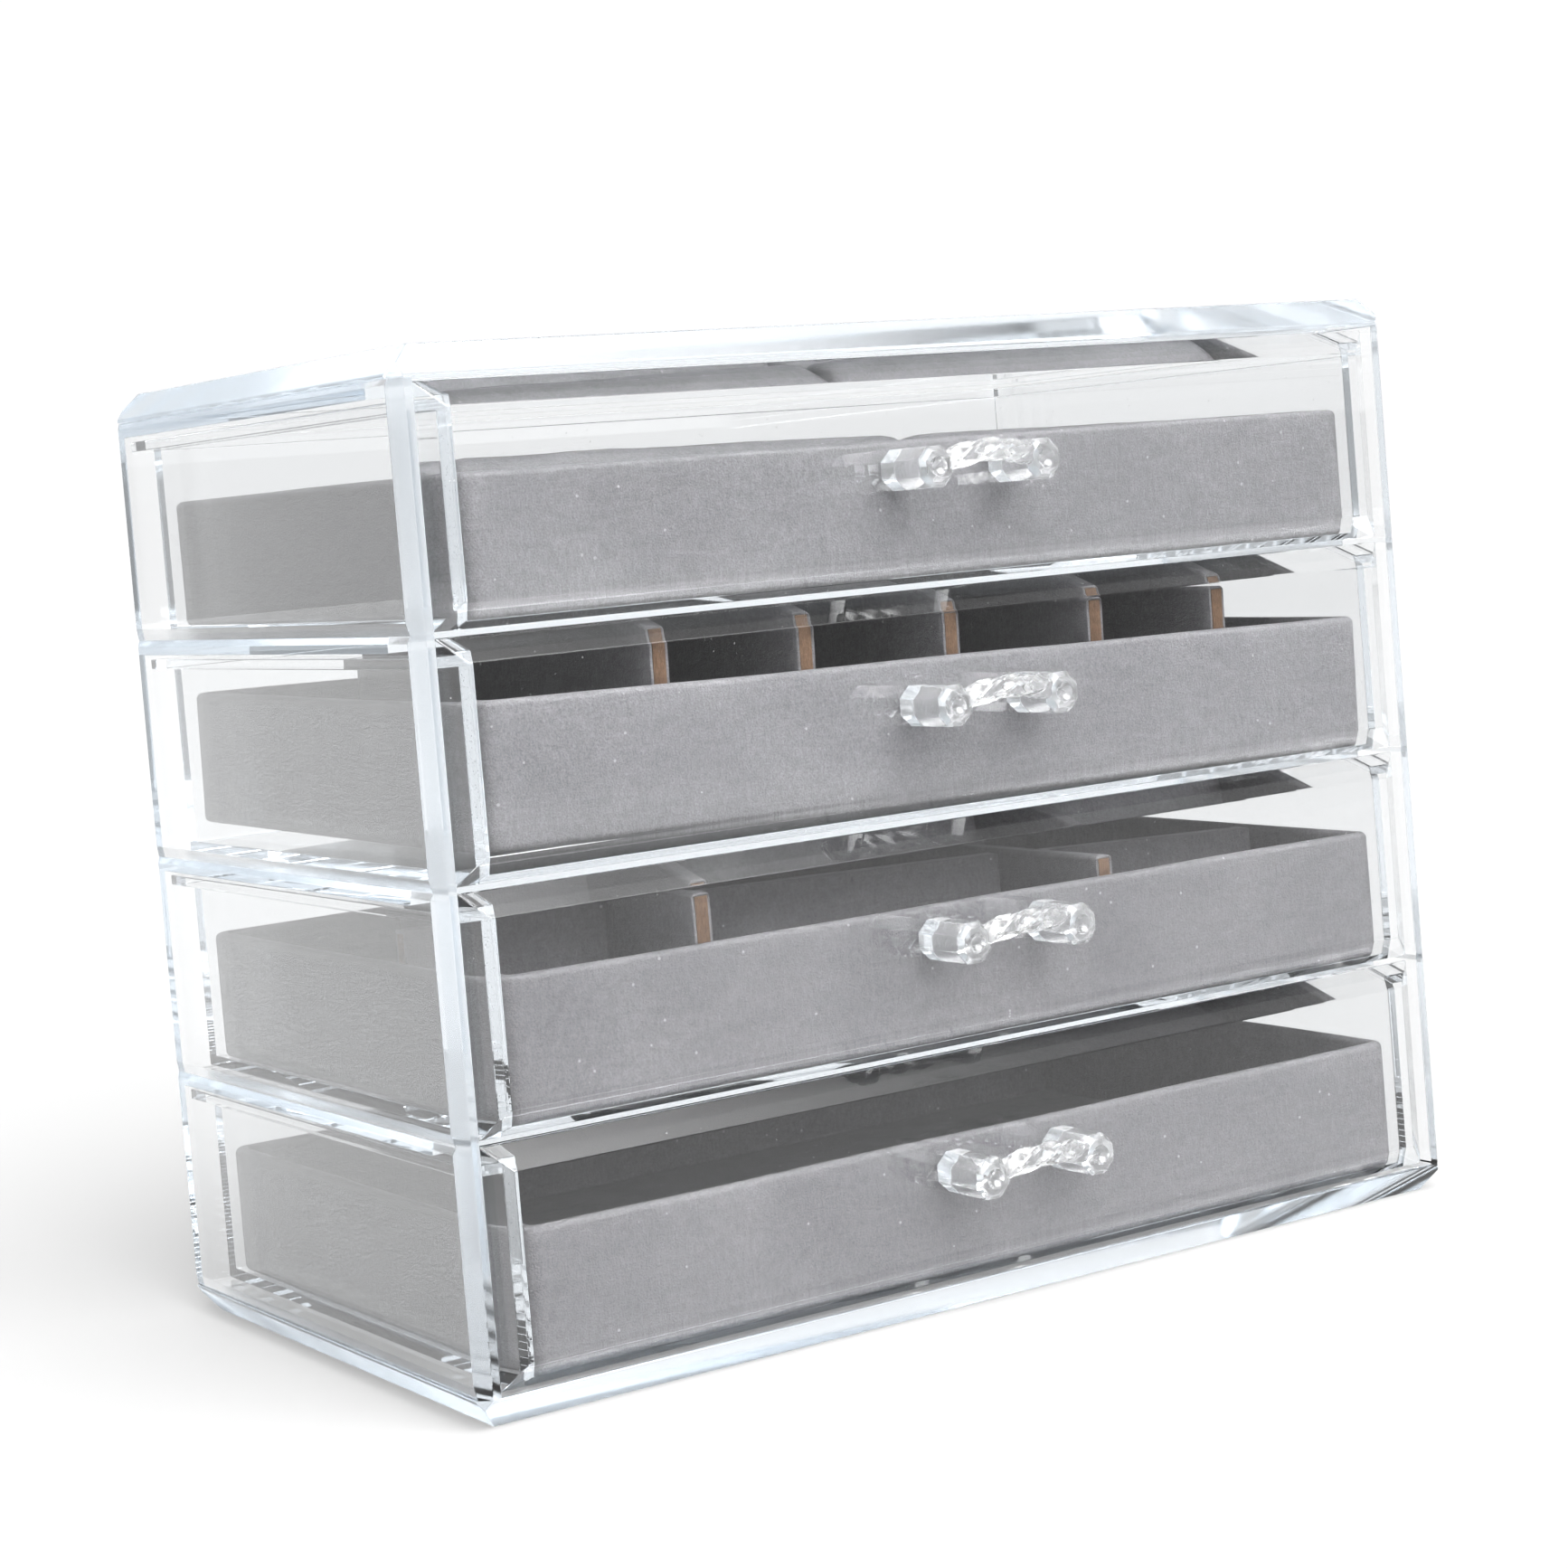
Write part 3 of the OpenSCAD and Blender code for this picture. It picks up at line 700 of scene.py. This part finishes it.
world = bpy.data.worlds.new("studio")
scene.world = world
world.use_nodes = True
nt = world.node_tree
nt.nodes.clear()
out = nt.nodes.new("ShaderNodeOutputWorld")
bg = nt.nodes.new("ShaderNodeBackground")
tc = nt.nodes.new("ShaderNodeTexCoord")


def towards(v):
    v = Vector(v).normalized()
    n = nt.nodes.new("ShaderNodeVectorMath")
    n.operation = "DOT_PRODUCT"
    nt.links.new(tc.outputs["Generated"], n.inputs[0])
    n.inputs[1].default_value = v
    return n.outputs["Value"]


def soft_box(v, outer, inner, strength):
    n = nt.nodes.new("ShaderNodeMapRange")
    n.interpolation_type = "SMOOTHSTEP"
    nt.links.new(towards(v), n.inputs["Value"])
    n.inputs["From Min"].default_value = math.cos(math.radians(outer))
    n.inputs["From Max"].default_value = math.cos(math.radians(inner))
    n.inputs["To Max"].default_value = strength
    return n.outputs["Result"]


# a white sweep behind the object, a greyer room on the viewer's side, and soft boxes above it
facing = towards((0.556, 0.829, 0.0))
lit = ramp(nt, math_node(nt, "ADD", math_node(nt, "MULTIPLY", facing, 0.5), 0.5),
           [(0.0, grey(0.26)), (0.35, grey(0.30)), (0.62, grey(0.55)), (0.84, grey(0.95)), (0.90, grey(1.03)), (1.0, grey(1.03))])
key = soft_box((-0.05, -0.72, 0.69), 42, 12, 13.0)
nt.links.new(lit, bg.inputs["Color"])
bg.inputs["Strength"].default_value = 1.0
boxes = nt.nodes.new("ShaderNodeBackground")
boxes.inputs["Color"].default_value = (1, 1, 1, 1)
nt.links.new(key, boxes.inputs["Strength"])
both = nt.nodes.new("ShaderNodeAddShader")
nt.links.new(bg.outputs["Background"], both.inputs[0])
nt.links.new(boxes.outputs["Background"], both.inputs[1])
nt.links.new(both.outputs[0], out.inputs["Surface"])


def area_light(name, where, look, size, power):
    li = bpy.data.lights.new(name, "AREA")
    li.shape = "RECTANGLE"
    li.size, li.size_y = size
    li.energy = power
    ob = bpy.data.objects.new(name, li)
    scene.collection.objects.link(ob)
    ob.location = where
    ob.rotation_euler = (Vector(look) - Vector(where)).to_track_quat("-Z", "Y").to_euler()
    return ob


scene.view_settings.view_transform = "Standard"
scene.view_settings.look = "None"
scene.view_settings.exposure = 0.0
scene.cycles.max_bounces = 160
scene.cycles.transmission_bounces = 120
scene.cycles.glossy_bounces = 120
scene.cycles.diffuse_bounces = 5
scene.cycles.transparent_max_bounces = 16
scene.cycles.volume_bounces = 0
scene.cycles.blur_glossy = 0.3
scene.cycles.sample_clamp_indirect = 8.0
